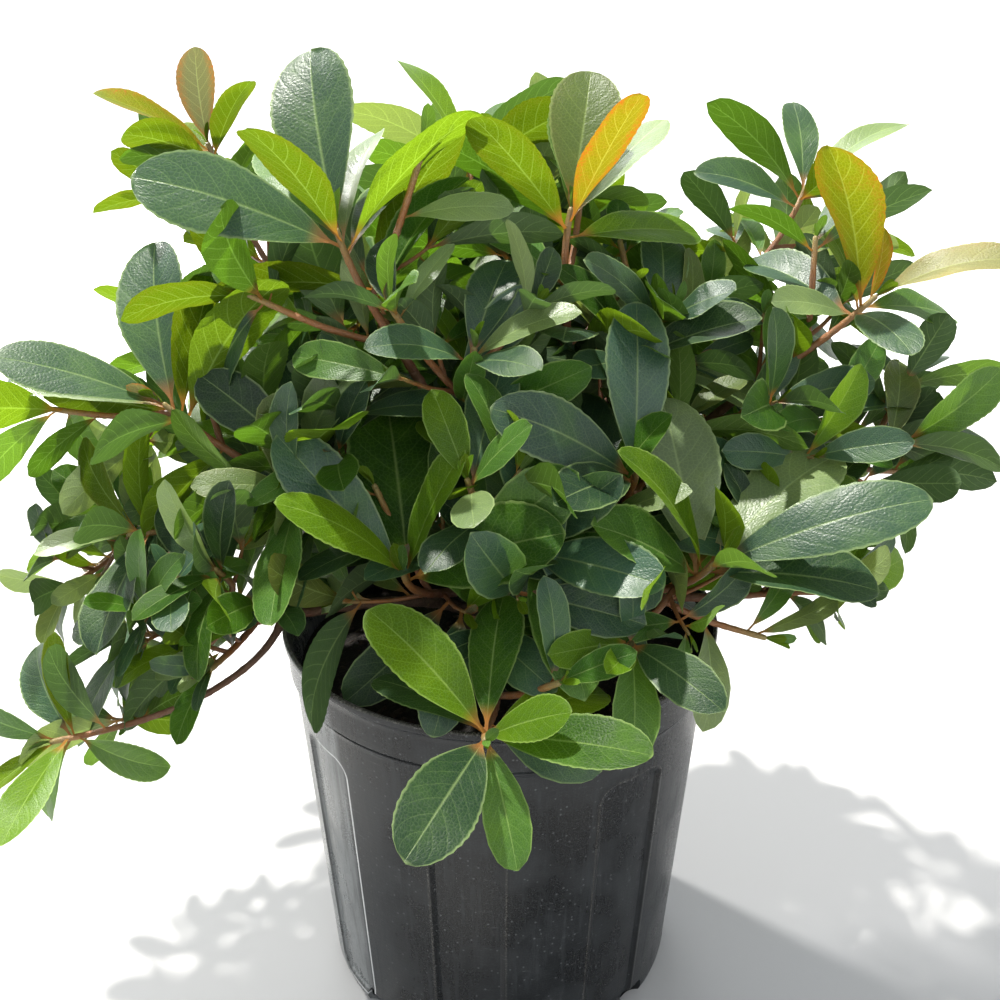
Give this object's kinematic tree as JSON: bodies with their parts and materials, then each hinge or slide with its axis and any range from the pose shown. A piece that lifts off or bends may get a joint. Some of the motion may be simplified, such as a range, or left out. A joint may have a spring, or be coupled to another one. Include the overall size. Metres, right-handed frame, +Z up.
{
  "type": "potted indian hawthorn shrub",
  "caption": "Bushy evergreen shrub with whorls of blunt leathery leaves on red-brown stems, in a round black nursery pot filled with soil.",
  "frame": {"origin": "centre of the pot's flat underside, on the ground", "axes": "+Z up along the pot's axis, -Y towards the front that the picture shows, +X to the right of that view"},
  "size_m": [0.5112, 0.4224, 0.4919],
  "materials": {
    "pot_plastic": "matte black plastic, dusty and scuffed",
    "potting_soil": "dark crumbly bark and peat mix",
    "bark": "rough brown bark, redder on young stems",
    "leaf_dark": "leathery, satin, dark blue-green",
    "leaf_fresh": "leathery, satin, yellow-green"
  },
  "bodies": {
    "root": {"pot": "pot_plastic", "soil": "potting_soil", "trunk": "bark", "bough_crown_left": "bark", "bough_crown_right": "bark", "bough_left": "bark", "bough_right": "bark", "bough_front_left": "bark", "bough_front_right": "bark", "bough_front_low": "bark", "bough_left_low": "bark", "bough_right_low": "bark", "bough_back": "bark", "bough_back_left_low": "bark", "bough_back_right_low": "bark", "bough_back_low": "bark", "bough_crown_back_left": "bark", "bough_crown_back": "bark", "bough_crown_back_right": "bark", "bough_right_middle": "bark", "bough_middle": "bark", "bough_inner_right": "bark", "bough_front_middle": "bark", "bough_far_left": "bark", "bough_far_left_low": "bark", "bough_back_left": "bark", "bough_back_right": "bark", "bough_inner_left": "bark", "bough_inner_back": "bark", "bough_centre": "bark", "bough_inner_low": "bark", "mass_crown_left": "leaf_fresh", "mass_crown_right": "leaf_fresh", "mass_left": "leaf_fresh", "mass_right": "leaf_fresh", "mass_front_left": "leaf_dark", "mass_front_right": "leaf_fresh", "mass_front_low": "leaf_fresh", "mass_left_low": "leaf_dark", "mass_right_low": "leaf_dark", "mass_back": "leaf_dark", "mass_back_left_low": "leaf_dark", "mass_back_right_low": "leaf_dark", "mass_back_low": "leaf_dark", "mass_crown_back_left": "leaf_fresh", "mass_crown_back": "leaf_dark", "mass_crown_back_right": "leaf_fresh", "mass_right_middle": "leaf_dark", "mass_middle": "leaf_dark", "mass_inner_right": "leaf_dark", "mass_front_middle": "leaf_dark", "mass_far_left": "leaf_dark", "mass_far_left_low": "leaf_fresh", "mass_back_left": "leaf_dark", "mass_back_right": "leaf_dark", "mass_inner_left": "leaf_dark", "mass_inner_back": "leaf_dark", "mass_centre": "leaf_dark", "mass_inner_low": "leaf_dark"}
  },
  "joints": []
}
